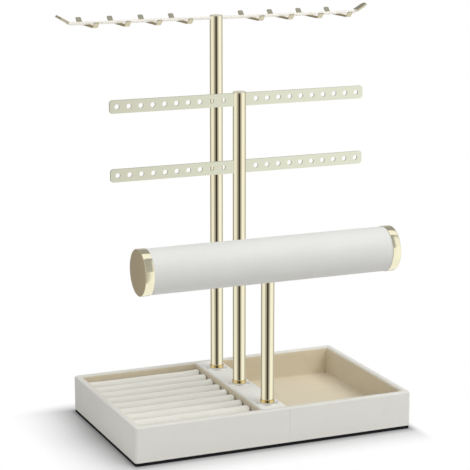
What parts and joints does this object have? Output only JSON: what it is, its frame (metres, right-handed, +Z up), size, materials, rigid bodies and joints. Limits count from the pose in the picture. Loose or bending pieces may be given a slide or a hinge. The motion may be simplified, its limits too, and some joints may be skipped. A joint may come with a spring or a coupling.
{
  "type": "jewelry stand",
  "caption": "Leather-wrapped tray with a ring pad and an open bay, under gold posts that carry a necklace hook rod, perforated earring bars and a leather-covered bracelet bar.",
  "frame": {"origin": "on the table under the middle of the tray", "axes": "+Z up along the posts, +X to the right along the bars, front with the bracelet bar at -Y"},
  "size_m": [0.31, 0.17, 0.3805],
  "materials": {
    "fibreboard": "raw fibreboard",
    "leather": "off-white grained synthetic leather",
    "bracelet_leather": "white fine-grained synthetic leather",
    "foam_pad": "black foam sheet",
    "velvet": "beige short-pile velvet",
    "card": "grey-brown card",
    "hardwood": "raw hardwood",
    "ring_cloth": "off-white suede cloth over foam",
    "gold_plate": "polished pale gold plating",
    "gold_wire": "polished pale gold plating on wire",
    "gold_cap": "satin face and polished rim, pale gold plating",
    "champagne_strip": "satin champagne plating",
    "zinc_steel": "zinc plated",
    "brass_insert": "turned brass"
  },
  "bodies": {
    "base": {"base_pad": "foam_pad", "bottom_board": "fibreboard", "front_board": "fibreboard", "rear_board": "fibreboard", "left_board": "fibreboard", "right_board": "fibreboard", "front_wrap": "leather", "rear_wrap": "leather", "left_wrap": "leather", "right_wrap": "leather", "partition_core": "fibreboard", "partition_wrap": "leather", "ring_bay_liner": "velvet", "open_bay_liner": "velvet", "ring_card": "card", "ring_roll_1": "ring_cloth", "ring_roll_2": "ring_cloth", "ring_roll_3": "ring_cloth", "ring_roll_4": "ring_cloth", "ring_roll_5": "ring_cloth", "ring_roll_6": "ring_cloth", "ring_roll_7": "ring_cloth", "ring_roll_8": "ring_cloth", "ring_roll_9": "ring_cloth"},
    "rear_mast": {"rear_post": "gold_plate", "rear_post_foot": "gold_plate", "rear_post_cap": "gold_plate", "rear_post_screw": "zinc_steel", "rear_post_washer": "zinc_steel", "hook_rod": "gold_wire", "cross_hook_1": "gold_wire", "cross_hook_2": "gold_wire", "cross_hook_3": "gold_wire", "cross_hook_4": "gold_wire", "cross_hook_5": "gold_wire", "cross_hook_6": "gold_wire", "cross_hook_7": "gold_wire", "cross_hook_8": "gold_wire"},
    "middle_mast": {"middle_post": "gold_plate", "middle_post_foot": "gold_plate", "middle_post_cap": "gold_plate", "middle_post_screw": "zinc_steel", "middle_post_washer": "zinc_steel", "upper_earring_bar": "champagne_strip", "lower_earring_bar": "champagne_strip"},
    "front_mast": {"front_post": "gold_plate", "front_post_foot": "gold_plate", "front_post_screw": "zinc_steel", "front_post_washer": "zinc_steel", "front_post_stud": "zinc_steel", "bracelet_core": "card", "bracelet_sleeve": "bracelet_leather", "left_end_cap": "gold_cap", "right_end_cap": "gold_cap", "bracelet_saddle": "hardwood", "saddle_insert": "brass_insert"}
  },
  "joints": [
    {"name": "rear_mast_turn", "type": "hinge", "parent": "base", "child": "rear_mast", "pos_m": [0, 0.056, 0.0355], "axis": [0, 0, 1], "continuous": true},
    {"name": "middle_mast_turn", "type": "hinge", "parent": "base", "child": "middle_mast", "pos_m": [0, 0.0015, 0.0355], "axis": [0, 0, 1], "range_deg": [-78, 78]},
    {"name": "front_mast_turn", "type": "hinge", "parent": "base", "child": "front_mast", "pos_m": [0, -0.063, 0.0355], "axis": [0, 0, 1], "range_deg": [-62, 62]}
  ]
}
